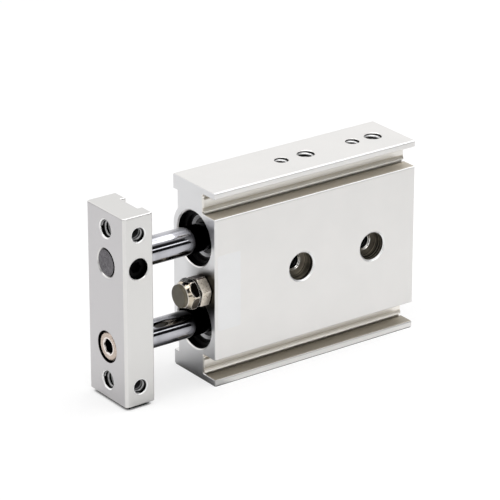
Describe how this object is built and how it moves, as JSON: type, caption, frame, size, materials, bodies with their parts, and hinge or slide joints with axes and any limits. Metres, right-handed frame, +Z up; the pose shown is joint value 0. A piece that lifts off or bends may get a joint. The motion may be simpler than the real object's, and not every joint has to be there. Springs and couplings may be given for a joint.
{
  "type": "twin-rod pneumatic cylinder",
  "caption": "Flat rectangular pneumatic cylinder with parallel chromed rods that push an end plate out and back, and an adjustable stop bolt.",
  "frame": {"origin": "centre of the housing's bottom narrow face, on which the part stands", "axes": "+X along the rods towards the end plate, +Y out of the grooved wide side, +Z up"},
  "size_m": [0.0992, 0.02, 0.058],
  "materials": {
    "anodised_aluminium": "clear anodised, fine satin",
    "hard_chrome": "ground and hard chromed, mirror",
    "bearing_alloy": "turned",
    "piston_alloy": "turned",
    "nitrile_rubber": "moulded, matt",
    "urethane": "moulded, satin",
    "bonded_magnet": "moulded, matt",
    "phosphated_steel": "stamped and phosphated",
    "black_oxide_steel": "black oxide",
    "zinc_plated_steel": "plated, satin",
    "nickel_plated_steel": "cold formed and nickel plated"
  },
  "bodies": {
    "cylinder_body": {"housing": "anodised_aluminium", "lock_nut": "nickel_plated_steel", "rod_cover_upper": "bearing_alloy", "rod_cover_lower": "bearing_alloy", "rod_cover_o_ring_upper": "nitrile_rubber", "rod_cover_o_ring_lower": "nitrile_rubber", "rod_seal_upper": "nitrile_rubber", "rod_seal_lower": "nitrile_rubber", "seal_retainer_upper": "bearing_alloy", "seal_retainer_lower": "bearing_alloy", "front_retaining_ring_upper": "phosphated_steel", "front_retaining_ring_lower": "phosphated_steel", "head_cover_upper": "bearing_alloy", "head_cover_lower": "bearing_alloy", "head_cover_o_ring_upper": "nitrile_rubber", "head_cover_o_ring_lower": "nitrile_rubber", "rear_retaining_ring_upper": "phosphated_steel", "rear_retaining_ring_lower": "phosphated_steel"},
    "sliding_plate": {"plate": "anodised_aluminium", "piston_rod_upper": "hard_chrome", "piston_rod_lower": "hard_chrome", "piston_upper": "piston_alloy", "piston_lower": "piston_alloy", "piston_seal_upper": "nitrile_rubber", "piston_seal_lower": "nitrile_rubber", "piston_magnet_upper": "bonded_magnet", "piston_magnet_lower": "bonded_magnet", "front_bumper_upper": "urethane", "front_bumper_lower": "urethane", "rear_bumper_upper": "urethane", "rear_bumper_lower": "urethane", "piston_clip_upper": "phosphated_steel", "piston_clip_lower": "phosphated_steel", "plate_cap_screw": "zinc_plated_steel", "plate_set_screw": "black_oxide_steel"},
    "stop_carrier": {"stop_bumper": "urethane"},
    "stop_screw": {"stop_bolt": "nickel_plated_steel"}
  },
  "joints": [
    {"name": "plate_slide", "type": "slide", "parent": "cylinder_body", "child": "sliding_plate", "axis": [1, 0, 0], "range_m": [-0.01, 0]},
    {"name": "stop_travel", "type": "slide", "parent": "cylinder_body", "child": "stop_carrier", "axis": [1, 0, 0], "range_m": [0, 0.00108]},
    {"name": "stop_turn", "type": "hinge", "parent": "stop_carrier", "child": "stop_screw", "pos_m": [0.0386, 0.0044, 0.02775], "axis": [1, 0, 0], "range_deg": [0, 486.1]}
  ],
  "couplings": [
    {"joint": "stop_turn", "follows": "stop_travel", "rad_per_m": 7854}
  ]
}
